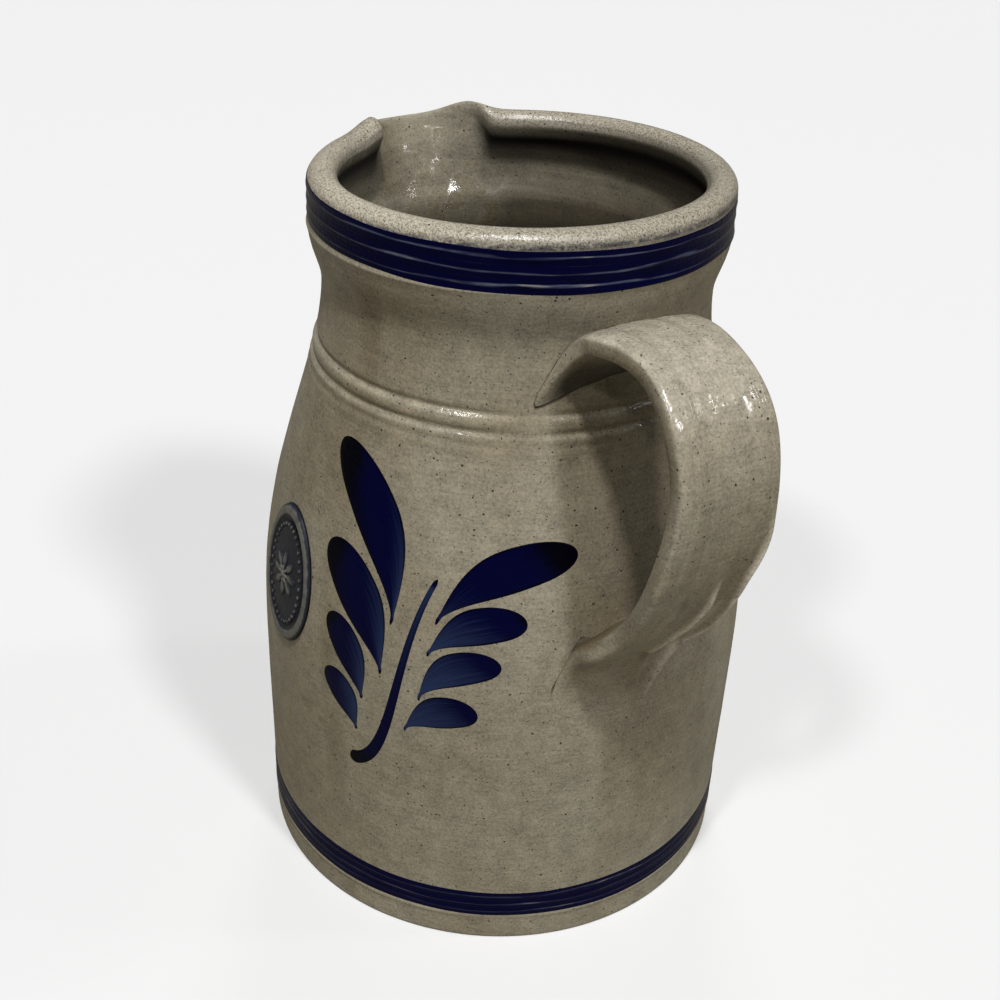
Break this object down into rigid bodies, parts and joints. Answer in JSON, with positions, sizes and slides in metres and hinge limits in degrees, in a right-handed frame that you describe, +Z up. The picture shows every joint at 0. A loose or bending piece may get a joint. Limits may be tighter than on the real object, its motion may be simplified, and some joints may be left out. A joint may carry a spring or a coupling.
{
  "type": "stoneware pitcher",
  "caption": "Salt-glazed stoneware pitcher with a drawn spout, a strap handle, cobalt bands, a brushed leaf sprig and an oval medallion.",
  "frame": {"origin": "middle of the foot, on the surface that the pitcher stands on", "axes": "+Z up along the thrown axis; the handle stands along -X, and the spout points along +X, turned 3 degrees towards +Y"},
  "size_m": [0.1822, 0.1538, 0.223],
  "materials": {
    "salt_glaze": "glossy, orange-peel salt glaze with iron specks",
    "cobalt_slip": "glossy, brushed cobalt under salt glaze",
    "slate_slip": "satin, worn on the raised lines"
  },
  "bodies": {
    "root": {"body": "salt_glaze", "spout": "salt_glaze", "handle": "salt_glaze", "medallion": "slate_slip", "rim_band_1": "cobalt_slip", "rim_band_2": "cobalt_slip", "rim_band_3": "cobalt_slip", "foot_band_1": "cobalt_slip", "foot_band_2": "cobalt_slip", "foot_band_3": "cobalt_slip", "sprig_stem": "cobalt_slip", "leaf_1": "cobalt_slip", "leaf_2": "cobalt_slip", "leaf_3": "cobalt_slip", "leaf_4": "cobalt_slip", "leaf_5": "cobalt_slip", "leaf_6": "cobalt_slip", "leaf_7": "cobalt_slip", "leaf_8": "cobalt_slip"}
  },
  "joints": []
}
